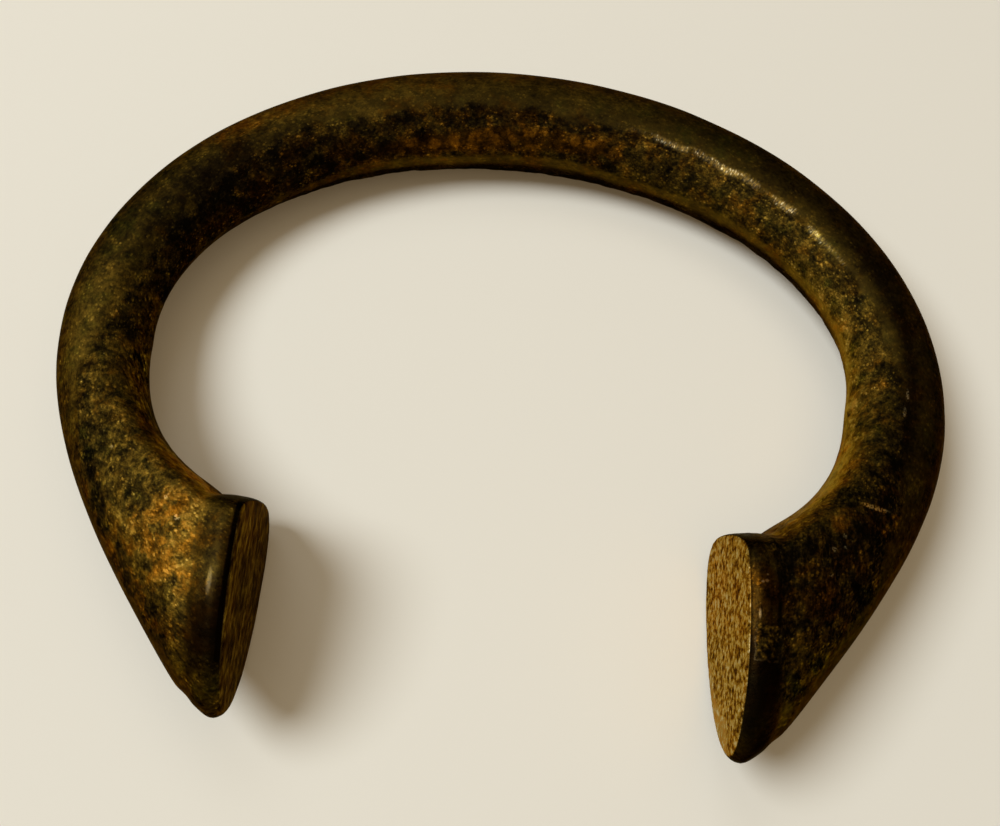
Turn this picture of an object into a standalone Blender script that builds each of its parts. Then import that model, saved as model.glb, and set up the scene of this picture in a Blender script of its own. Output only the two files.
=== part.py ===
"""A manilla: an open ring of cast copper alloy with two hoof-shaped terminals that face each other.

The ring lies on its side. +X runs from the left terminal to the right one, +Y to the back of the
ring, and +Z up. The origin is the centre of the underside of the whole ring's box.
"""

import math

import bmesh
import bpy
import numpy as np

MM = 0.001

# The bar's middle line, an ellipse in the ring's plane
HALF_SPAN = 29.7 * MM
BACK_REACH = 23.05 * MM
FRONT_REACH = 24.85 * MM

# The bar's section
BACK_RADIUS = 4.1 * MM
HEIGHT_SHARE = 0.945
FACE_HALF_HEIGHT = 6.45 * MM
FLARE_START = math.radians(92)

# The terminals' flat faces and the rim around them
FACE_X = 16.2 * MM
RIM_CREST = 0.93 * MM
GROOVE_X = 2.6 * MM
GROOVE_WIDTH = 0.9 * MM
GROOVE_DEPTH = 0.19 * MM
HORN_GROOVE_DEPTH = 0.37 * MM
LIP_START = 3.3 * MM
LIP_LENGTH = 2.3 * MM
TIP_INSET = 1.35
HORN_INSET = 0.7

# The section as it grows towards a face: pointed at the tip and blunt at the horn
FACE_TURN_POWER = 0.57
HORN_SQUARENESS = 2.95
TIP_SHARPNESS = 1.1
WIDEST_SHIFT = 2.15 * MM
HORN_SLANT = 0.38
TIP_OVERRUN = 1.45 * MM
TIP_ROUNDING = 0.12 * MM

# The three small flats that the ring lies on
FLAT_DEPTH = 0.08 * MM
CUT_TOLERANCE = 1e-6 * MM
LEAN_ROUNDS = 4

# How finely the loft is divided
BAR_STEPS = 30
FLARE_STEPS = 27
FLARE_CROWDING = 0.8
RIM_STEPS = 4
SECTION_POINTS = 28
SHARP_ANGLE = math.radians(35)

PATINA_COLOUR = (0.075, 0.055, 0.025, 1.0)
PATINA_METALLIC = 0.6
PATINA_ROUGHNESS = 0.42


class Reach:
    """How far a terminal grows on one side of the middle line, from where, and how suddenly."""

    def __init__(self, length, start, power):
        self.length = length
        self.start = start
        self.power = power


class Terminal:
    """The sizes in which one side of the ring differs from the other."""

    def __init__(self, side, bar_radius, tip, horn, height_power, rim_round, lip):
        self.side = side
        self.bar_radius = bar_radius
        self.tip = tip
        self.horn = horn
        self.height_power = height_power
        self.rim_round = rim_round
        self.lip = lip


RIGHT = Terminal(
    side=1,
    bar_radius=3.35 * MM,
    tip=Reach(8.5 * MM, math.radians(75), 3.5),
    horn=Reach(6.8 * MM, math.radians(76), 1.6),
    height_power=1.64,
    rim_round=0.46 * MM,
    lip=0.48 * MM,
)
LEFT = Terminal(
    side=-1,
    bar_radius=3.27 * MM,
    tip=Reach(8.4 * MM, math.radians(90), 2.64),
    horn=Reach(6.45 * MM, math.radians(81), 2.65),
    height_power=1.6,
    rim_round=0.48 * MM,
    lip=0.3 * MM,
)


class Section:
    """One cross-section of the bar: its centre, the way it looks and its reach out and back."""

    def __init__(self, centre, outward, out, back, half_height, flare):
        self.centre = centre
        self.outward = outward
        self.out = out
        self.back = back
        self.half_height = half_height
        self.flare = flare


def ease(share):
    """A share from 0 to 1 that starts and ends level."""
    return share * share * (3 - 2 * share)


def soft_limit(value, limit, softness):
    """The value, levelled off as it nears the limit."""
    return -softness * np.logaddexp(-value / softness, -limit / softness)


def grown(start, end, share, power):
    """A size that goes from start to end by a power of the share travelled."""
    return start + (end - start) * share**power


def crest_angle():
    """How far round the ellipse, from the back, the crest of a rim stands."""
    return math.pi - math.asin((FACE_X + RIM_CREST) / HALF_SPAN)


def share_from(start, angle):
    """How much of the way from a start angle to the rim's crest has been travelled."""
    return max(0.0, (angle - start) / (crest_angle() - start))


def section_at(terminal, angle):
    """The section at an angle round the ellipse, from the back of the ring to a rim's crest."""
    share = share_from(FLARE_START, angle)
    flare = ease(share)
    reach = BACK_REACH if math.cos(angle) > 0 else FRONT_REACH
    x = HALF_SPAN * math.sin(angle)
    y = reach * math.cos(angle)

    # The section's plane turns from square across the bar to parallel with the face
    square_to_bar = math.atan2(reach * math.sin(angle), -HALF_SPAN * math.cos(angle))
    turn = square_to_bar * (1 - flare**FACE_TURN_POWER)
    outward = (math.sin(turn), -math.cos(turn))

    slimming = math.sin(min(angle, math.pi / 2)) ** 2
    radius = BACK_RADIUS + (terminal.bar_radius - BACK_RADIUS) * slimming
    tip, horn = terminal.tip, terminal.horn
    tip_share, horn_share = share_from(tip.start, angle), share_from(horn.start, angle)
    out = grown(radius, tip.length + TIP_OVERRUN, tip_share, tip.power)
    out = soft_limit(out, tip.length + TIP_ROUNDING * math.log(2), TIP_ROUNDING)
    back = grown(radius, horn.length, horn_share, horn.power)
    height = grown(radius * HEIGHT_SHARE, FACE_HALF_HEIGHT, share, terminal.height_power)

    # The groove behind the rim, and the lip that the horn turns up into
    if share > 0:
        behind_face = x - FACE_X
        groove = math.exp(-(((behind_face - GROOVE_X) / GROOVE_WIDTH) ** 2))
        out -= GROOVE_DEPTH * groove
        height -= GROOVE_DEPTH * groove
        back -= HORN_GROOVE_DEPTH * groove
        back += terminal.lip * ease(np.clip((LIP_START - behind_face) / LIP_LENGTH, 0, 1))
    return Section((x, y), outward, out, back, height, flare)


def rim_sections(terminal, crest):
    """The sections that round the rim over, from its crest to the flat face."""
    sections = []
    for step in range(1, RIM_STEPS + 1):
        angle = math.pi / 2 * step / RIM_STEPS
        inset = terminal.rim_round * (1 - math.cos(angle))
        x = FACE_X + RIM_CREST * (1 - math.sin(angle))
        sections.append(
            Section(
                (x, crest.centre[1]),
                crest.outward,
                crest.out - TIP_INSET * inset,
                crest.back - HORN_INSET * inset,
                crest.half_height - inset,
                crest.flare,
            )
        )
    return sections


def half_ring(terminal):
    """The sections of one half of the ring, from its back to a terminal's face."""
    bar = np.linspace(0, FLARE_START, BAR_STEPS, endpoint=False)
    travelled = np.linspace(0, 1, FLARE_STEPS) ** FLARE_CROWDING
    flare = FLARE_START + (crest_angle() - FLARE_START) * travelled
    sections = [section_at(terminal, angle) for angle in (*bar, *flare)]
    return sections + rim_sections(terminal, sections[-1])


def outline_points(terminal, section):
    """The points round a section, from the tip over the top to the horn and back below."""
    blunt = 2 / (2 + (HORN_SQUARENESS - 2) * section.flare)
    pointed = 1 + (TIP_SHARPNESS - 1) * section.flare
    widest = -WIDEST_SHIFT * section.flare
    points = []
    for index in range(SECTION_POINTS):
        angle = 2 * math.pi * index / SECTION_POINTS
        along = abs(math.cos(angle))
        across = abs(math.sin(angle))
        if math.cos(angle) > 0:
            z = section.half_height * across**pointed
            out = widest + (section.out - widest) * along
        else:
            z = section.half_height * across**blunt
            out = widest - (section.back + widest) * along**blunt
        z = math.copysign(z, math.sin(angle))
        if math.cos(angle) < 0:
            out += HORN_SLANT * z * along * section.flare**2
        x = section.centre[0] + section.outward[0] * out
        y = section.centre[1] + section.outward[1] * out
        points.append((terminal.side * x, y, z))
    return points


def loft(name, outlines):
    """A closed body through outlines of equal numbers of points, with flat ends."""
    work = bmesh.new()
    rings = [[work.verts.new(point) for point in outline] for outline in outlines]
    for near, far in zip(rings, rings[1:]):
        for index in range(SECTION_POINTS):
            after = (index + 1) % SECTION_POINTS
            work.faces.new((near[index], near[after], far[after], far[index]))
    work.faces.new(rings[0])
    work.faces.new(rings[-1])
    bmesh.ops.recalc_face_normals(work, faces=work.faces)
    mesh = bpy.data.meshes.new(name)
    work.to_mesh(mesh)
    work.free()
    return mesh


def lay_down(mesh):
    """Tips the ring onto its back and its two terminals, as it lies on a table."""
    points = np.array([vertex.co for vertex in mesh.vertices])
    back = points[(points[:, 1] > 0) & (abs(points[:, 0]) < FACE_X)]
    ends = points[points[:, 1] < 0]
    tip_angle = 0.0
    for _ in range(LEAN_ROUNDS):
        lean = np.array((math.sin(tip_angle), math.cos(tip_angle)))
        lowest_back = back[np.argmin(back[:, 1:] @ lean), 1:]
        lowest_end = ends[np.argmin(ends[:, 1:] @ lean), 1:]
        rise, run = lowest_back[1] - lowest_end[1], lowest_back[0] - lowest_end[0]
        tip_angle = -math.atan2(rise, run)
    turn = np.array(
        (
            (1, 0, 0),
            (0, math.cos(tip_angle), -math.sin(tip_angle)),
            (0, math.sin(tip_angle), math.cos(tip_angle)),
        )
    )
    for vertex, point in zip(mesh.vertices, points @ turn.T):
        vertex.co = point


def cut_flats(mesh):
    """Takes three small flats off the underside, where the ring rests."""
    points = np.array([vertex.co for vertex in mesh.vertices])
    back = points[:, 1] > 0
    regions = (back, ~back & (points[:, 0] < 0), ~back & (points[:, 0] > 0))
    ground = max(points[region, 2].min() for region in regions) + FLAT_DEPTH
    work = bmesh.new()
    work.from_mesh(mesh)
    cut = bmesh.ops.bisect_plane(
        work,
        geom=[*work.verts, *work.edges, *work.faces],
        dist=CUT_TOLERANCE,
        plane_co=(0, 0, ground),
        plane_no=(0, 0, -1),
        clear_outer=True,
    )
    edges = [part for part in cut["geom_cut"] if isinstance(part, bmesh.types.BMEdge)]
    bmesh.ops.edgenet_fill(work, edges=edges)
    bmesh.ops.recalc_face_normals(work, faces=work.faces)
    work.to_mesh(mesh)
    work.free()


def centre_on_box(mesh):
    """Moves the mesh so that the origin is the centre of its underside."""
    points = np.array([vertex.co for vertex in mesh.vertices])
    low, high = points.min(axis=0), points.max(axis=0)
    middle = np.array(((low[0] + high[0]) / 2, (low[1] + high[1]) / 2, low[2]))
    for vertex, point in zip(mesh.vertices, points - middle):
        vertex.co = point


def patina():
    """Worn brown bronze."""
    material = bpy.data.materials.new("bronze_patina")
    material.use_nodes = True
    shader = material.node_tree.nodes["Principled BSDF"]
    shader.inputs["Base Color"].default_value = PATINA_COLOUR
    shader.inputs["Metallic"].default_value = PATINA_METALLIC
    shader.inputs["Roughness"].default_value = PATINA_ROUGHNESS
    material.diffuse_color = PATINA_COLOUR
    return material


def make_manilla(collection):
    """The whole ring, cast in one piece from the left face round the back to the right face."""
    left = [outline_points(LEFT, section) for section in half_ring(LEFT)]
    right = [outline_points(RIGHT, section) for section in half_ring(RIGHT)]
    mesh = loft("manilla", left[:0:-1] + right)
    lay_down(mesh)
    cut_flats(mesh)
    centre_on_box(mesh)
    mesh.shade_smooth()
    mesh.set_sharp_from_angle(angle=SHARP_ANGLE)
    mesh.materials.append(patina())
    manilla = bpy.data.objects.new("manilla", mesh)
    collection.objects.link(manilla)
    return manilla


def main():
    for leftover in list(bpy.data.objects):
        bpy.data.objects.remove(leftover)
    collection = bpy.data.collections.new("manilla")
    bpy.context.scene.collection.children.link(collection)
    make_manilla(collection)


main()
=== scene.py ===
import math

import bpy
import numpy as np
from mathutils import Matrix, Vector, noise


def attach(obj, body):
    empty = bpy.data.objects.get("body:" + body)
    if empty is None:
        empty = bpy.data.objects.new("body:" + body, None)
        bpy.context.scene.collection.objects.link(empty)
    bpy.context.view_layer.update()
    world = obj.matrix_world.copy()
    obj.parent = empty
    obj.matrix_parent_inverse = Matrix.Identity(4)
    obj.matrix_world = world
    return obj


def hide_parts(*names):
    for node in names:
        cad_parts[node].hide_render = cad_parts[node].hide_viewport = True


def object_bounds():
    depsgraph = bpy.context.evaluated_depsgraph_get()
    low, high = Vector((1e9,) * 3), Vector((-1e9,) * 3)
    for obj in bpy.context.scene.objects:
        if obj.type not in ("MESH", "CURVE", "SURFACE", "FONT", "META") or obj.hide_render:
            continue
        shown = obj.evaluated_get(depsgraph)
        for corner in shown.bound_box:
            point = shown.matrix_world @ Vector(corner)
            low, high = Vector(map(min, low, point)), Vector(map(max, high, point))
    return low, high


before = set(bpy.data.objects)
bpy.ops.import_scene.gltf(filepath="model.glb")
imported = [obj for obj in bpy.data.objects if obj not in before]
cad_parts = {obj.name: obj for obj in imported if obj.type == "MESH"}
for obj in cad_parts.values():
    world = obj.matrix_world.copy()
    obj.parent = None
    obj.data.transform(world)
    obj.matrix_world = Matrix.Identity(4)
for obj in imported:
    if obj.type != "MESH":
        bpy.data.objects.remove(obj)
cad_low, cad_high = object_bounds()

MM = 0.001

# The ring as it lies, in millimetres: the bar's middle line is an ellipse that leans on the table
HALF_SPAN = 29.7
BACK_REACH = 23.05
FRONT_REACH = 24.85
LEAN = math.radians(-3.62543)
RING_CENTRE = np.array((-0.0559, 0.8619, 5.2322))
FACE_X = 16.2

# How finely the cast surface is divided
CELL = 0.24 * MM

# Where the smooth outer skin gives way to the rough one: places along the ring and round the bar
SKIN_EDGE_ALONG = (-180, -135, -122, -110, -98, -88, -76, -62, -49, -38, -20, 60, 84, 98, 110, 122, 135, 180)
SKIN_EDGE_AROUND = (12, 18, 30, 62, 98, 126, 132, 128, 120, 112, 117, 123, 116, 100, 88, 62, 30, 25)

# The mould seam on the inner side
SEAM_ALONG = (-180, -60, -48, -36, -28, -14, 0, 8, 14, 20, 33, 60, 180)
SEAM_AROUND = (190, 190, 186, 179, 175, 177, 173, 170, 173, 177, 171, 172, 176)

# Lighter, darker, redder and greener places: along and round, their lengths and widths in degrees,
# how much lighter and how much redder
PATCHES = (
    (-141, 70, 13, 34, 0.29, 0.30),
    (-134, 128, 9, 24, 0.33, 0.20),
    (-128, 150, 12, 22, 0.26, 0.00),
    (-122, 75, 7, 24, -0.10, -0.35),
    (-116, 95, 10, 40, 0.08, -0.05),
    (-100, 70, 12, 30, 0.09, -0.10),
    (-100, 130, 14, 26, 0.08, 0.05),
    (-108, 168, 14, 26, 0.00, -0.50),
    (-72, 62, 14, 30, -0.03, -0.40),
    (-56, 104, 12, 18, -0.24, 0.15),
    (-46, 70, 8, 18, 0.15, 0.50),
    (-60, 160, 22, 36, -0.20, 0.25),
    (-34, 165, 10, 20, -0.06, 0.30),
    (-4, 153, 11, 15, 0.07, 0.75),
    (-18, 160, 6, 9, 0.08, 0.75),
    (10, 146, 6, 12, 0.05, 0.55),
    (0, 122, 20, 8, -0.14, 0.30),
    (0, 104, 26, 9, -0.07, 0.00),
    (-14, 72, 22, 26, 0.09, 0.35),
    (24, 80, 14, 22, 0.03, -0.35),
    (45, 142, 22, 20, 0.12, 0.00),
    (48, 84, 22, 24, -0.12, 0.00),
    (66, 165, 12, 16, 0.10, -0.15),
    (74, 80, 14, 16, -0.12, 0.30),
    (97, 172, 24, 24, 0.42, 0.00),
    (96, 128, 14, 18, 0.07, 0.00),
    (98, 90, 22, 9, -0.22, 0.40),
    (100, 50, 22, 16, -0.10, -0.25),
    (108, 112, 10, 14, -0.08, -0.35),
    (122, 148, 14, 22, 0.50, -0.10),
    (126.5, 106, 2.6, 6, 0.34, 0.60),
    (128, 82, 9, 18, -0.10, 0.15),
    (137, 98, 5, 10, -0.04, 0.10),
    (138, 60, 8, 26, -0.02, 0.30),
    (136, 34, 12, 20, 0.07, -0.70),
)

# Small bright flecks on the bar, painted glints: along and round in degrees, half their lengths in
# millimetres and half their widths in degrees, how much lighter
GLINT_FLECKS = (
    (-133.0, 99, 0.20, 2.4, 0.34),
    (-136.5, 94, 0.24, 2.0, 0.34),
    (-120.0, 88, 0.20, 1.8, 0.26),
    (99.0, 100, 0.50, 2.4, 0.34),
    (95.5, 97, 0.60, 2.0, 0.30),
    (127.6, 98, 0.16, 2.2, 0.40),
    (128.8, 92, 0.14, 1.6, 0.40),
    (130.5, 96, 0.16, 2.0, 0.36),
    (133.5, 84, 0.18, 1.4, 0.36),
)

# Painted glints on the rims, standing in for highlights: the side, how far behind the face and how far
# to the back, half their sizes, how much lighter
PAINTED_RIM_GLINTS = (
    (1, 0.80, -17.60, 0.10, 0.09, 0.36),
    (1, 1.08, -17.52, 0.12, 0.12, 0.44),
    (1, 1.14, -17.10, 0.08, 0.07, 0.32),
    (1, 0.60, -19.65, 0.08, 0.30, 0.38),
    (-1, 1.18, -20.55, 0.16, 0.80, 0.20),
)

# The cut across the bar on the right, and how far it slants for each degree round
CUT_ALONG, CUT_AROUND, CUT_SLANT = 119.6, 94, 0.09

# The flaw in the right rim: behind the face, and to the back
FLAW_BEHIND = (0.42, 1.95)
FLAW_Y = (-22.35, -20.30)

# Fine scores on the inner side at the left: where they are, and which way they run
SCORES_ALONG, SCORES_AROUND, SCORES_WAY = -107, 152, math.radians(56)

# Where the ends begin, and how high the rims' upper sides are
END_Y = -8.0
UPPER_Z = 8.0

# The pale edge of the right face lies outside an ellipse: its middle, and its reach up and along
BEVEL_Z, BEVEL_Y = 6.26, -17.3
BEVEL_REACH = (6.0, 9.7)

# The groove behind each rim, and the painted shade line at the foot of the right rim: how far behind the face
GROOVE_BEHIND = (2.3, 3.0)
RIM_FOOT_BEHIND = (1.84, 2.06)

# The nick on the inner side at the right: along and round, its length and width in degrees
NICK = (97, 175, 2.2, 9)

# The relief, in millimetres; the rise makes up for what smoothing takes off
RISE = 0.045
WAVES = 0.035
LUMPS, PITS = 0.075, 0.09
SEAM_HEIGHT = 0.07
GROOVE_DEPTH = 0.08
NICK_HEIGHT = 0.13
CUT_DEPTH = 0.10
FLAW_LUMPS, FLAW_DEPTH = 0.08, 0.06

# The patina's colours from the darkest hollow to the brightest grain, what makes it redder or
# greener, bare metal and the paleness of painted glints, and what the surface reflects where it is seen edge
# on
PALETTE = (
    (0.00, (0.0042, 0.0027, 0.0012)),
    (0.20, (0.0130, 0.0079, 0.0022)),
    (0.40, (0.0430, 0.0260, 0.0042)),
    (0.60, (0.1220, 0.0700, 0.0086)),
    (0.80, (0.2700, 0.1560, 0.0200)),
    (1.00, (0.4700, 0.3050, 0.0600)),
)
REDDER = (1.25, 0.81, 0.38)
GREENER = (0.76, 1.06, 1.00)
BARE_METAL_AND_GLINTS = (0.74, 0.66, 0.43)
EDGE_ON = (0.36, 0.30, 0.13)

# The table is pale paper; its faint glow stands for the light that the walls throw on it, also
# under the ring
PAPER = (0.80, 0.775, 0.71)
PAPER_GLOW = (0.080, 0.055, 0.028)

# The light of the room, and the lamps: their azimuth, elevation and spread in degrees, how
# strongly they light the table, and their colour
ROOM, ROOM_STRENGTH = (1.0, 0.78, 0.50), 0.11
DAYLIGHT, LAMPLIGHT = (0.93, 0.985, 1.0), (1.0, 0.82, 0.56)
LAMPS = {
    "window": (183, 56, 14, 0.655, DAYLIGHT),
    "lamp": (112, 56, 14, 0.055, DAYLIGHT),
    "ceiling": (0, 88, 34, 0.18, LAMPLIGHT),
}

# The camera: its place in metres, its turns in degrees, its lens and sensor in millimetres
CAMERA_PLACE = (-0.0023247, -0.0397602, 0.0817432)
CAMERA_TURNS = (24.81817, -3.47918, 4.07868)
LENS, SENSOR = 41.328, 36


# Shaping


def only(piece):
    """Makes one piece the whole selection."""
    bpy.ops.object.select_all(action="DESELECT")
    piece.select_set(True)
    bpy.context.view_layer.objects.active = piece


def apply(piece, kind, **settings):
    """Adds a modifier, sets it and applies it."""
    only(piece)
    modifier = piece.modifiers.new(kind.title(), kind)
    for name, value in settings.items():
        setattr(modifier, name, value)
    bpy.ops.object.modifier_apply(modifier=modifier.name)


def points_of(piece):
    """The vertices of a piece, in millimetres."""
    flat = np.empty(len(piece.data.vertices) * 3, np.float32)
    piece.data.vertices.foreach_get("co", flat)
    return flat.reshape(-1, 3).astype(float) / MM


def copy_of(node, name):
    """A loose copy of a piece with its own mesh."""
    piece = node.copy()
    piece.data = node.data.copy()
    piece.parent = None
    piece.name = name
    bpy.context.scene.collection.objects.link(piece)
    return piece


def smooth_blank(node):
    """A smooth, evenly divided copy of the ring."""
    guide = copy_of(node, "guide")
    only(guide)
    bpy.ops.object.mode_set(mode="EDIT")
    bpy.ops.mesh.select_all(action="SELECT")
    bpy.ops.mesh.remove_doubles(threshold=0.002 * MM)
    bpy.ops.mesh.tris_convert_to_quads()
    bpy.ops.object.mode_set(mode="OBJECT")
    apply(guide, "SUBSURF", levels=2)
    piece = copy_of(guide, "manilla_cast")
    apply(piece, "REMESH", mode="VOXEL", voxel_size=CELL)
    apply(piece, "SHRINKWRAP", target=guide, wrap_method="NEAREST_SURFACEPOINT")
    bpy.data.objects.remove(guide)
    return piece


def press(piece, heights):
    """Moves the surface along its normals by a height for each vertex, in millimetres."""
    depth = np.abs(heights).max()
    group = piece.vertex_groups.new(name="relief")
    for index, share in enumerate((heights / depth + 1) / 2):
        group.add((index,), float(share), "REPLACE")
    # A weight of one half leaves the surface where it is
    apply(piece, "DISPLACE", vertex_group="relief", strength=2 * depth * MM, mid_level=0.0)
    apply(piece, "DISPLACE", strength=-depth * MM, mid_level=0.0)
    piece.vertex_groups.clear()


def stay_inside(piece, lowest, highest):
    """Flattens whatever reaches past a box."""
    inside = np.clip(points_of(piece) * MM, lowest, highest)
    piece.data.vertices.foreach_set("co", inside.astype(np.float32).ravel())
    piece.data.update()


def keep(piece, name, values):
    """Stores a value or a vector for each vertex, for the material to read."""
    values = np.asarray(values, np.float32)
    kind = "FLOAT" if values.ndim == 1 else "FLOAT_VECTOR"
    layer = piece.data.attributes.new(name, kind, "POINT")
    layer.data.foreach_set("value" if values.ndim == 1 else "vector", values.ravel())


# Places on the ring


class Places:
    """Where each vertex lies on the ring: along it, round the bar, and behind a face."""

    def __init__(self, points):
        cos, sin = math.cos(LEAN), math.sin(LEAN)
        centred = points - RING_CENTRE
        x = centred[:, 0]
        y = cos * centred[:, 1] + sin * centred[:, 2]
        self.z = -sin * centred[:, 1] + cos * centred[:, 2]
        reach = np.where(y > 0, BACK_REACH, FRONT_REACH)
        along = np.arctan2(x / HALF_SPAN, y / reach)
        for _ in range(6):
            off_x, off_y = x - HALF_SPAN * np.sin(along), y - reach * np.cos(along)
            step_x, step_y = HALF_SPAN * np.cos(along), -reach * np.sin(along)
            bend = -off_x * HALF_SPAN * np.sin(along) - off_y * reach * np.cos(along)
            along = along - (off_x * step_x + off_y * step_y) / (bend - step_x**2 - step_y**2)
            reach = np.where(np.cos(along) > 0, BACK_REACH, FRONT_REACH)
        off_x, off_y = x - HALF_SPAN * np.sin(along), y - reach * np.cos(along)
        out_x, out_y = reach * np.sin(along), HALF_SPAN * np.cos(along)
        self.out = (off_x * out_x + off_y * out_y) / np.hypot(out_x, out_y)
        self.along = np.degrees(along)
        self.around = np.degrees(np.arctan2(self.z, self.out))
        self.behind = np.abs(points[:, 0]) - FACE_X
        self.length = self.arc_length(along)
        self.x, self.y, self.up = points.T

    @staticmethod
    def arc_length(along):
        """The distance along the middle line from the back of the ring, in millimetres."""
        angles = np.linspace(-math.pi, math.pi, 1441)
        reach = np.where(np.cos(angles) > 0, BACK_REACH, FRONT_REACH)
        pace = np.hypot(HALF_SPAN * np.cos(angles), reach * np.sin(angles))
        travelled = np.concatenate(([0], np.cumsum((pace[1:] + pace[:-1]) / 2 * np.diff(angles))))
        travelled -= np.interp(0, angles, travelled)
        return np.interp(along, angles, travelled)

    def round_from(self, angle):
        """How far round the bar a vertex is from an angle, from -180 to 180 degrees."""
        return (self.around - angle + 180) % 360 - 180

    def patch(self, along, around, length, width):
        """A soft oval patch: 1 at its middle, one half at its length and width in degrees."""
        off = ((self.along - along) / length) ** 2 + (self.round_from(around) / width) ** 2
        return 0.5**off


def smooth(values, low, high):
    """A share that rises evenly from 0 at low to 1 at high."""
    share = np.clip((values - low) / (high - low), 0, 1)
    return share * share * (3 - 2 * share)


def band(values, low, high, soft):
    """A share that is 1 between low and high, and fades over a soft edge."""
    return smooth(values, low - soft, low + soft) * (1 - smooth(values, high - soft, high + soft))


def clouds(points, size, octaves=3, seed=0.0):
    """Soft noise about 0, with features of a size in millimetres."""
    shift = Vector((seed * 13.7, seed * 7.1, seed * 3.3))
    return np.array([noise.fractal(Vector(p) / size + shift, 1.0, 2.0, octaves) for p in points])


def cells(points, size, seed=0.0):
    """The distance to the nearest of many scattered points, as a share of their spacing."""
    shift = Vector((seed * 5.3, seed * 11.9, seed * 2.7))
    return np.array([noise.voronoi(Vector(p) / size + shift)[0][0] for p in points])


# The ring


class Skin:
    """The zones of the ring's surface, as shares from 0 to 1 for each vertex."""

    def __init__(self, points):
        at = self.at = Places(points)
        wander = clouds(points, 3.0, 3, 2.0)
        edge = np.interp(at.along, SKIN_EDGE_ALONG, SKIN_EDGE_AROUND)
        self.seam_angle = np.interp(at.along, SEAM_ALONG, SEAM_AROUND)
        from_seam = at.round_from(self.seam_angle)
        upper = (at.around > 0) | (from_seam < 0) & (from_seam > -60)
        around = np.where(at.around < -120, at.around + 360, at.around)
        self.from_seam = from_seam
        # On the underside the rough zone mirrors the upper one, below a smooth strip by the seam
        rough_top = smooth(around + 9 * wander, edge - 4, edge + 4) * (1 - smooth(from_seam, -3, 1))
        rough_under = smooth(-at.around + 14 * wander, edge - 8, edge + 8)
        rough_under *= smooth(from_seam, 22, 34)
        left, near_end = at.x < 0, at.y < END_Y
        narrow = np.where(left, 0.4, 1.1) * smooth(at.y, -18.5, -15)
        fade = np.where(left, 1.3, 1.7) - narrow, np.where(left, 3.3, 2.6) - narrow
        self.rim = near_end * (1 - smooth(at.behind + 0.4 * wander, *fade))
        self.rough = np.where(at.around > 0, rough_top, np.where(from_seam > 0, rough_under, rough_top))
        self.rough *= 1 - self.rim
        self.seam = np.exp(-((from_seam / 3.2) ** 2)) * (1 - smooth(abs(at.along), 88, 104))
        # The crest that hands have polished, where the rough skin begins on the right arc; it is also painted
        # lighter and paler, partly as a painted highlight
        crest = at.around - edge + 4 * wander
        self.wear_and_sheen = band(crest, -7, 1, 3) * band(at.along, 19, 62, 8) * (at.around > 0)
        self.wear_and_sheen *= np.clip(0.72 + 1.5 * clouds(points, 1.1, 3, 8.0), 0, 1)
        # A short pale cut across the bar, and a flaw in the right rim that the casting left
        across = at.round_from(CUT_AROUND)
        off = at.along - CUT_ALONG - CUT_SLANT * across
        self.cut = np.exp(-((off / 0.55) ** 2)) * band(abs(across), -1, 12, 2)
        ragged = clouds(points, 0.9, 2, 7.0)
        self.flaw = (at.x > 0) * (at.up > UPPER_Z) * band(at.behind + 0.3 * ragged, *FLAW_BEHIND, 0.15)
        self.flaw *= band(at.y + 0.35 * ragged, *FLAW_Y, 0.2)

    def paint(self):
        """Sets how light, how grainy and how red or green the patina is at each vertex."""
        at = self.at
        self.tone = 0.405 - 0.06 * self.rough
        self.grain = 0.42 + 0.58 * self.rough
        self.red = 0.30 * self.rough
        for along, around, length, width, tone, red in PATCHES:
            spot = at.patch(along, around, length, width)
            self.tone += tone * spot
            self.red += red * spot
        strip = smooth(self.from_seam, 1, 4) * (1 - smooth(self.from_seam, 22, 34))
        self.red += 0.20 * strip
        # Painted shade: past the strip below the seam, the underside of the back arc is made darker
        painted_underside_shade = smooth(self.from_seam, 12, 20) * (1 - smooth(abs(at.along), 60, 80))
        self.tone += 0.05 * strip - 0.26 * painted_underside_shade + 0.05 * self.seam + 0.24 * self.wear_and_sheen
        left_bar = band(at.along, -118, -35, 12)
        self.grain += 0.25 * left_bar * (1 - self.rough)
        left = at.x < 0
        horn, lower, tip = smooth(at.y, -16.5, -14.5), smooth(-at.y, 19.8, 22.5), smooth(-at.y, 23.5, 26)
        left_tone = 0.35 - 0.10 * horn - 0.25 * lower + 0.24 * tip
        right_tone = 0.30 - 0.05 * horn - 0.22 * lower + 0.14 * tip
        left_red = 0.30 - 0.70 * horn + 0.25 * lower - 0.60 * tip
        right_red = 0.65 - 0.80 * horn - 0.30 * lower - 0.50 * tip
        self.tone += (np.where(left, left_tone, right_tone) - self.tone) * self.rim
        rim_grain = np.where(left, 0.60 - 0.30 * lower + 0.50 * tip, 0.60 - 0.35 * lower)
        self.grain += (rim_grain - self.grain) * self.rim
        self.red += (np.where(left, left_red, right_red) - self.red) * self.rim - 0.30 * self.flaw
        glint = band(at.y, -21.3, -19.7, 0.7)
        rim_shine = np.where(left, 0.2 + 0.4 * glint, 0.45)
        self.shine = np.clip(self.rim * rim_shine * (1 - self.flaw) + 0.6 * self.wear_and_sheen, 0, 1)


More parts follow.
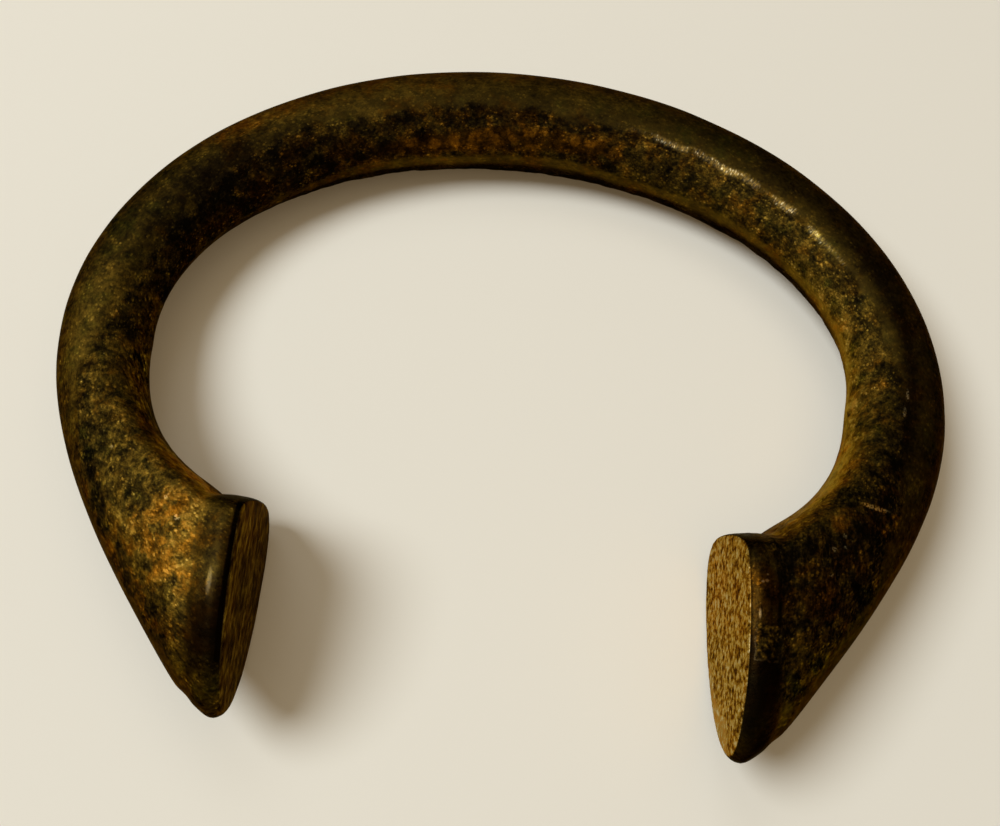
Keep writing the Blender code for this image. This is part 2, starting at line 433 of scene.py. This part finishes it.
def make_ring():
    piece = smooth_blank(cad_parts["manilla"])
    spots = points_of(piece)
    skin = Skin(spots)
    at = skin.at

    broad = clouds(spots, 6.5, 2, 1.0)
    lumps = clouds(spots, 1.3, 3, 3.0)
    pits = smooth(0.42 - cells(spots, 1.15, 4.0), 0.0, 0.25)
    deep = smooth(clouds(spots, 3.2, 2, 6.0), -0.1, 0.4)

    height = RISE + WAVES * broad * (1 - skin.rim)
    height += skin.rough * (LUMPS * lumps - PITS * pits * deep)
    height += SEAM_HEIGHT * skin.seam * (0.7 + 0.8 * clouds(spots, 1.6, 2, 5.0))
    height -= GROOVE_DEPTH * band(at.behind, *GROOVE_BEHIND, 0.35) * (at.y < END_Y)
    height += NICK_HEIGHT * at.patch(*NICK) - CUT_DEPTH * skin.cut
    height += skin.flaw * (FLAW_LUMPS * lumps - FLAW_DEPTH)
    press(piece, height)
    stay_inside(piece, cad_low, cad_high)

    skin.paint()
    keep(piece, "bar", np.stack([at.length, at.out, at.z], 1))
    for name in ("rough", "tone", "grain", "red", "shine", "wear_and_sheen"):
        keep(piece, name, getattr(skin, name))
    only(piece)
    bpy.ops.object.shade_smooth()
    piece.data.materials.clear()
    piece.data.materials.append(patina())
    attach(piece, "root")
    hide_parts("manilla")
    return piece


# Materials


class Paint:
    """Builds a material out of nodes; a value can be a number, a colour or another node's output."""

    def __init__(self, name):
        self.material = bpy.data.materials.new(name)
        self.material.use_nodes = True
        self.tree = self.material.node_tree
        self.shader = self.tree.nodes["Principled BSDF"]

    def feed(self, socket, value):
        if isinstance(value, bpy.types.NodeSocket):
            self.tree.links.new(value, socket)
        elif isinstance(value, tuple) and len(value) == 3 and socket.type == "RGBA":
            socket.default_value = (*value, 1.0)
        else:
            socket.default_value = value

    def node(self, kind, inputs, **settings):
        node = self.tree.nodes.new(kind)
        for name, value in settings.items():
            setattr(node, name, value)
        for key, value in inputs.items():
            self.feed(node.inputs[key], value)
        return node

    def stored(self, name):
        return self.node("ShaderNodeAttribute", {}, attribute_name=name)

    def share(self, name):
        return self.stored(name).outputs["Fac"]

    def scaled(self, vector, factors):
        """A place or a colour times three factors."""
        inputs = {0: vector, 1: factors}
        return self.node("ShaderNodeVectorMath", inputs, operation="MULTIPLY").outputs[0]

    def noise(self, vector, size, detail=2.0, roughness=0.55):
        inputs = {"Vector": vector, "Scale": 1 / size, "Detail": detail, "Roughness": roughness}
        return self.node("ShaderNodeTexNoise", inputs).outputs["Fac"]

    def parts(self, vector):
        node = self.node("ShaderNodeSeparateXYZ", {0: vector})
        return tuple(node.outputs)

    def grains(self, vector, size):
        """A chance value for each of many small grains."""
        return self.node("ShaderNodeTexVoronoi", {"Vector": vector, "Scale": 1 / size}).outputs["Color"]

    def dots(self, vector, size, radius, chance):
        """Round grains: their spacing, their radius as a share of it, and how many of them there are."""
        node = self.node("ShaderNodeTexVoronoi", {"Vector": vector, "Scale": 1 / size})
        near = self.ramp(node.outputs["Distance"], radius, 0.5 * radius)
        return self.times(near, self.ramp(node.outputs["Color"], 0.98 - chance, 1.02 - chance))

    def shaken(self, vector, size, reach):
        """The same place, moved about a little so that grains are ragged."""
        moved = self.node("ShaderNodeTexNoise", {"Vector": vector, "Scale": 1 / size, "Detail": 1.0})
        inputs = {0: moved.outputs["Color"], 1: (reach, reach, reach), 2: vector}
        return self.node("ShaderNodeVectorMath", inputs, operation="MULTIPLY_ADD").outputs[0]

    def about(self, value, size):
        """A value that goes about one half, made to go about 0 by a size."""
        return self.times(self.plus(value, -0.5), size)

    def total(self, *values):
        result = values[0]
        for value in values[1:]:
            result = self.plus(result, value)
        return result

    def product(self, *values):
        result = values[0]
        for value in values[1:]:
            result = self.times(result, value)
        return result

    def within(self, value, low, high, soft):
        """1 where a value is between low and high, with soft edges."""
        above = self.ramp(value, low - soft, low + soft)
        return self.times(above, self.ramp(value, high + soft, high - soft))

    def ramp(self, value, low, high, start=0.0, end=1.0):
        inputs = {"Value": value, "From Min": low, "From Max": high, "To Min": start, "To Max": end}
        node = self.node("ShaderNodeMapRange", inputs, interpolation_type="SMOOTHSTEP")
        return node.outputs["Result"]

    def maths(self, operation, first, second=0.0, third=0.0):
        node = self.node("ShaderNodeMath", {0: first, 1: second, 2: third}, operation=operation)
        return node.outputs[0]

    def times(self, first, second):
        return self.maths("MULTIPLY", first, second)

    def plus(self, first, second):
        return self.maths("ADD", first, second)

    def between(self, kind, share, first, second):
        node = self.tree.nodes.new("ShaderNodeMix")
        node.data_type = "RGBA" if kind == "Color" else "FLOAT"
        sockets = {s.identifier: s for s in node.inputs}
        self.feed(sockets["Factor_Float"], share)
        self.feed(sockets[f"A_{kind}"], first)
        self.feed(sockets[f"B_{kind}"], second)
        return next(s for s in node.outputs if s.identifier == f"Result_{kind}")

    def mix(self, share, first, second):
        """A number between two others."""
        return self.between("Float", share, first, second)

    def blend(self, share, first, second):
        """A colour between two others."""
        return self.between("Color", share, first, second)

    def steps(self, value, stops):
        """Colours that follow one another as a value rises."""
        node = self.node("ShaderNodeValToRGB", {"Fac": value})
        ramp = node.color_ramp
        while len(ramp.elements) < len(stops):
            ramp.elements.new(1.0)
        for element, (position, colour) in zip(ramp.elements, stops):
            element.position = position
            element.color = (*colour, 1.0)
        return node.outputs["Color"]

    def tint(self, share, colour, factors):
        """A colour that is multiplied by factors, to a share."""
        return self.blend(share, colour, self.scaled(colour, factors))


class Bronze(Paint):
    """The ring's material, with the measures that its patterns use: millimetres and radians."""

    def __init__(self, name):
        super().__init__(name)
        self.place = self.scaled(self.node("ShaderNodeTexCoord", {}).outputs["Object"], (1 / MM,) * 3)
        self.bar = self.stored("bar").outputs["Vector"]
        self.x, self.y, self.z = self.parts(self.place)
        self.length, out, rise = self.parts(self.bar)
        self.around = self.maths("ARCTAN2", rise, out)
        side = self.plus(self.x, -float(RING_CENTRE[0]))
        self.left = self.maths("LESS_THAN", side, 0.0)
        self.behind = self.plus(self.maths("ABSOLUTE", side), -FACE_X)
        self.end = self.maths("LESS_THAN", self.y, END_Y)
        self.face = self.times(self.ramp(self.behind, 0.10, 0.03), self.end)
        self.upper = self.maths("GREATER_THAN", self.z, UPPER_Z)
        self.along_bar = self.scaled(self.bar, (0.70, 1, 1))
        self.ragged = self.shaken(self.along_bar, 0.20, 0.10)
        self.crumbs = self.ramp(self.noise(self.along_bar, 0.11, 2), 0.42, 0.56)

    def oval(self, measures, middle, reach, edge=(1.6, 0.3)):
        """1 in the middle of an oval that two measures give, and 0 past its edge."""
        squares = []
        for value, centre, half in zip(measures, middle, reach):
            share = self.times(self.plus(value, -centre), 1 / half)
            squares.append(self.times(share, share))
        return self.ramp(self.plus(*squares), *edge)

    def spot(self, along, around, length, width):
        """An oval on the bar: its place and half width in degrees, half its length in millimetres."""
        middle = float(Places.arc_length(math.radians(along))), math.radians(around)
        return self.oval((self.length, self.around), middle, (length, math.radians(width)))

    def cut(self):
        middle = float(Places.arc_length(math.radians(CUT_ALONG)))
        per_degree = float(Places.arc_length(math.radians(CUT_ALONG + 1))) - middle
        off = self.plus(self.around, -math.radians(CUT_AROUND))
        lean = self.times(off, -CUT_SLANT * per_degree * 180 / math.pi)
        measures = self.plus(self.length, lean), self.around
        return self.oval(measures, (middle, math.radians(CUT_AROUND)), (0.19, math.radians(12)))

    def flaw(self):
        """The flaw in the right rim: how much lighter it is, and its pale edge to the face and the tip."""
        wander = self.about(self.noise(self.place, 0.6, 2.0), 0.55)
        back, down = self.plus(self.behind, wander), self.plus(self.y, wander)
        (near, far), (front, rear) = FLAW_BEHIND, FLAW_Y
        inside = self.times(self.within(back, near, far, 0.10), self.within(down, front, rear, 0.10))
        near, front = near - 0.12, front - 0.12
        whole = self.times(self.within(back, near, far, 0.06), self.within(down, front, rear, 0.06))
        here = self.product(self.upper, self.end, self.maths("GREATER_THAN", self.x, 0.0))
        edge = self.maths("MAXIMUM", self.plus(whole, self.times(inside, -1.0)), 0.0)
        edge = self.times(edge, self.ramp(self.noise(self.place, 0.5), 0.36, 0.50))
        lumps = self.plus(self.about(self.noise(self.place, 0.33, 2, 0.5), 1.9), 0.20)
        return self.product(inside, here, lumps), self.times(edge, here)

    def scores(self):
        """Fine scratches that run slantwise."""
        turn = {"Vector": self.place, "Rotation": (0.0, 0.0, SCORES_WAY)}
        turned = self.node("ShaderNodeMapping", turn).outputs[0]
        lines = self.noise(self.scaled(turned, (0.13, 1, 1)), 0.2, 2.0, 0.6)
        return self.times(self.about(lines, 1.3), self.spot(SCORES_ALONG, SCORES_AROUND, 4.5, 32))

    def marks(self):
        """The small marks, painted glints and painted shade among them: how much lighter they are than what
        is round them, and how pale.
        """
        marks = [(self.times(self.spot(*place), self.crumbs), tone, 0.25) for *place, tone in GLINT_FLECKS]
        # Painted glints on the rims: small lighter, paler ovals standing in for highlights
        for side, behind, y, deep, tall, tone in PAINTED_RIM_GLINTS:
            glint = self.oval((self.behind, self.y), (behind, y), (deep, tall), (2.2, -0.3))
            here = self.times(self.upper, self.mix(self.left, float(side > 0), float(side < 0)))
            marks.append((self.times(glint, here), tone, 0.24 if side > 0 else 0.13))
        flaw, edge = self.flaw()
        # Painted shade: a dark line along the left rim's edge by the face, where the rounding faces away from
        # the lamps
        line = self.times(self.within(self.behind, 0.06, 0.34, 0.08), self.ramp(self.y, -26.0, -24.5))
        line = self.product(line, self.left, self.end, self.upper)
        # Painted shade: a dark line in the groove at the foot of the right rim
        foot_shade = self.plus(self.behind, self.about(self.noise(self.place, 1.2), 0.5))
        foot_shade = self.times(self.within(foot_shade, *RIM_FOOT_BEHIND, 0.12), self.ramp(self.y, -24.0, -22.0))
        foot_shade = self.product(foot_shade, self.mix(self.left, 1.0, 0.0), self.end, self.upper)
        pale_specks = self.dots(self.ragged, 0.46, 0.16, 0.55)
        fibres = self.about(self.noise(self.scaled(self.bar, (1, 0.3, 0.3)), 0.12, 3, 0.6), 1.8)
        wear_and_sheen = self.share("wear_and_sheen")
        marks += [
            (self.times(self.cut(), self.crumbs), 0.66, 0.22),
            (flaw, 1.0, 0.0),
            (edge, 0.24, 0.08),
            (line, -0.36, 0.0),
            (foot_shade, -0.20, 0.0),
            (self.scores(), 1.0, 0.0),
            (self.times(pale_specks, self.plus(self.share("grain"), 0.1)), 0.20, 0.07),
            # The polished crest, partly a painted highlight: fibres of light along it, and a paler colour
            (self.times(wear_and_sheen, fibres), 1.0, 0.0),
            (wear_and_sheen, 0.0, 0.16),
        ]
        lighter = self.total(*(self.times(mark, tone) for mark, tone, _ in marks if tone))
        pale = self.total(*(self.times(mark, share) for mark, _, share in marks if share))
        return lighter, pale

    def granular(self):
        """Clouds and grains of several sizes, about 0."""
        self.middle = self.noise(self.place, 0.95, 4, 0.62)
        self.fine = self.noise(self.along_bar, 0.20, 5, 0.72)
        self.coarse = self.grains(self.ragged, 0.22)
        clusters = self.ramp(self.noise(self.place, 1.5, 2), 0.40, 0.60)
        gold = self.plus(self.dots(self.ragged, 0.37, 0.36, 0.50), self.dots(self.ragged, 0.20, 0.42, 0.40))
        # Streaks run down the right end
        streaks = self.noise(self.scaled(self.place, (1, 0.22, 1)), 0.20, 3, 0.65)
        right_end = self.times(self.end, self.mix(self.left, 1.0, 0.0))
        return self.total(
            self.about(self.middle, 1.00),
            self.about(self.fine, 0.95),
            self.about(self.coarse, 0.22),
            self.times(gold, self.mix(clusters, 0.08, 0.29)),
            self.times(self.about(streaks, 0.85), right_end),
        )

    def bevel(self):
        """The smooth pale edge of the right face, towards the table and the tip."""
        up, down = self.plus(self.z, -BEVEL_Z), self.plus(self.y, -BEVEL_Y)
        shares = [self.times(value, 1 / reach) for value, reach in zip((up, down), BEVEL_REACH)]
        outward = self.plus(*(self.times(share, share) for share in shares))
        corner = self.times(self.ramp(up, 0.6, -0.6), self.ramp(down, -2.6, -3.6))
        return self.product(self.ramp(outward, 0.60, 0.66), corner, self.mix(self.left, 1.0, 0.0))

    def face_level(self, wide, bevel):
        """The faces, which are seen almost edge on: pitted on the right, scored lengthwise on the left."""
        pits = self.noise(self.scaled(self.place, (1, 0.75, 0.75)), 0.34, 3, 0.65)
        scores = self.noise(self.scaled(self.place, (1, 0.40, 0.75)), 0.42, 3, 0.65)
        self.worked = self.mix(self.left, pits, scores)
        depth = self.mix(self.left, self.mix(bevel, 2.8, 0.3), 1.6)
        return self.total(
            # Painted shade: the left face, which faces away from the lamps, is made much darker than the
            # right
            self.mix(self.left, 0.86, 0.47),
            self.about(wide, 0.25),
            self.times(self.plus(self.worked, -0.5), depth),
            self.times(bevel, 0.08),
        )


def patina():
    """Dark olive-brown bronze: smooth outside, pitted and flecked with gold inside and at the ends."""
    paint = Bronze("bronze_patina")
    rough, shine, grain = paint.share("rough"), paint.share("shine"), paint.share("grain")
    face, place, redder = paint.face, paint.place, paint.share("red")

    # Ochre crusts lie on the inner side, and dark green stains spread over the rough skin
    ochre = paint.times(paint.ramp(redder, 0.65, 0.95), rough)
    crusts = paint.dots(paint.shaken(place, 0.45, 0.3), 1.05, 0.66, 0.60)
    stain = paint.times(paint.ramp(paint.noise(place, 1.6, 3, 0.6), 0.50, 0.60), paint.mix(ochre, rough, 0.0))

    wide = paint.noise(place, 3.6, 3, 0.6)
    # Painted sparkle: bright pale specks along the polished crest, standing in for glints
    painted_sparkle = paint.dots(paint.shaken(paint.scaled(paint.bar, (1, 0.5, 0.5)), 0.2, 0.1), 0.17, 0.46, 0.50)
    painted_sparkle = paint.times(painted_sparkle, paint.share("wear_and_sheen"))
    lighter, pale = paint.marks()
    body = paint.total(
        paint.share("tone"),
        paint.about(wide, 0.4),
        paint.product(paint.granular(), grain, paint.mix(ochre, 1.0, 0.7)),
        paint.times(paint.plus(paint.times(crusts, 0.23), -0.11), ochre),
        paint.times(stain, -0.16),
        paint.times(painted_sparkle, 0.28),
        lighter,
    )
    bevel = paint.bevel()
    level = paint.mix(face, body, paint.face_level(wide, bevel))
    colour = paint.steps(level, PALETTE)
    # Redder and greener places
    body_hue = paint.total(
        redder,
        paint.about(paint.noise(place, 2.1, 3, 0.6), 2.1),
        paint.about(paint.noise(place, 0.45, 2), 0.9),
        paint.times(stain, -0.45),
        -0.03,
    )
    face_hue = paint.total(
        paint.mix(paint.left, 0.40, 0.20),
        paint.about(wide, 1.0),
        paint.about(paint.worked, -2.4),
    )
    hue = paint.mix(face, body_hue, face_hue)
    colour = paint.tint(paint.ramp(hue, 0.0, 1.0), colour, REDDER)
    colour = paint.tint(paint.ramp(hue, 0.0, -1.0), colour, GREENER)
    # Bare metal, where the patina is worn or cut through, and the pale colour of painted glints and
    # highlights
    face_bare = paint.ramp(paint.worked, 0.50, 0.70, 0.05, paint.mix(paint.left, 0.50, 0.10))
    face_bare = paint.plus(face_bare, paint.times(bevel, 0.14))
    bare_and_glints = paint.mix(face, paint.plus(pale, paint.times(painted_sparkle, 0.38)), face_bare)
    colour = paint.blend(paint.ramp(bare_and_glints, 0.0, 1.0), colour, BARE_METAL_AND_GLINTS)
    paint.feed(paint.shader.inputs["Base Color"], colour)

    # Wear decides the sheen
    paint.feed(paint.shader.inputs["Metallic"], 1.0)
    paint.feed(paint.shader.inputs["Specular Tint"], EDGE_ON)
    wear_and_sheen = paint.ramp(paint.fine, 0.3, 0.7, 0.50, 0.64)
    sheen = paint.mix(rough, wear_and_sheen, paint.ramp(level, 0.2, 0.8, 0.62, 0.42))
    sheen = paint.mix(face, paint.mix(shine, sheen, 0.28), 0.55)
    paint.feed(paint.shader.inputs["Roughness"], sheen)

    # Relief that is too fine for the mesh
    height = paint.total(
        paint.times(paint.fine, 0.055), paint.times(paint.middle, 0.08), paint.times(paint.coarse, 0.02)
    )
    height = paint.total(
        paint.times(height, rough), paint.times(paint.fine, 0.018), paint.product(paint.fine, shine, 0.02)
    )
    face_height = paint.times(paint.worked, paint.mix(bevel, 0.12, 0.02))
    bump = {"Height": paint.mix(face, height, face_height), "Distance": MM, "Strength": 1.0}
    paint.feed(paint.shader.inputs["Normal"], paint.node("ShaderNodeBump", bump).outputs["Normal"])
    return paint.material


# The table, the light and the camera


def make_table():
    bpy.ops.mesh.primitive_plane_add(size=2)
    table = bpy.context.object
    table.name = "table"
    paper = Paint("paper")
    settings = {
        "Base Color": PAPER,
        "Roughness": 0.9,
        "Specular IOR Level": 0.1,
        "Emission Color": PAPER_GLOW,
        "Emission Strength": 1.0,
    }
    for name, value in settings.items():
        paper.feed(paper.shader.inputs[name], value)
    table.data.materials.append(paper.material)


def make_lamp(name, azimuth, elevation, spread, strength, colour):
    """A round lamp a metre away that gives an even floor a strength from one direction."""
    turn, rise = math.radians(azimuth), math.radians(elevation)
    level = math.cos(rise)
    way = Vector((level * math.cos(turn), level * math.sin(turn), math.sin(rise)))
    data = bpy.data.lights.new(name, "AREA")
    data.shape = "DISK"
    data.size = 2 * math.tan(math.radians(spread))
    data.energy = strength * math.pi**2 / math.sin(rise)
    data.color = colour
    lamp = bpy.data.objects.new(name, data)
    bpy.context.scene.collection.objects.link(lamp)
    lamp.location = way
    lamp.rotation_euler = (-way).to_track_quat("-Z", "Y").to_euler()


def make_room(colour, strength):
    """Even light from all round."""
    world = bpy.data.worlds.new("room")
    world.use_nodes = True
    background = world.node_tree.nodes["Background"]
    background.inputs["Color"].default_value = (*colour, 1)
    background.inputs["Strength"].default_value = strength
    bpy.context.scene.world = world


def make_camera():
    data = bpy.data.cameras.new("camera")
    data.lens = LENS
    data.sensor_width = SENSOR
    data.sensor_fit = "HORIZONTAL"
    data.clip_start = 0.001
    data.clip_end = 10
    camera = bpy.data.objects.new("camera", data)
    bpy.context.scene.collection.objects.link(camera)
    camera.location = CAMERA_PLACE
    camera.rotation_euler = [math.radians(angle) for angle in CAMERA_TURNS]
    bpy.context.scene.camera = camera


make_ring()
make_table()
make_room(ROOM, ROOM_STRENGTH)
for name, settings in LAMPS.items():
    make_lamp(name, *settings)
make_camera()
bpy.context.scene.view_settings.view_transform = "Standard"
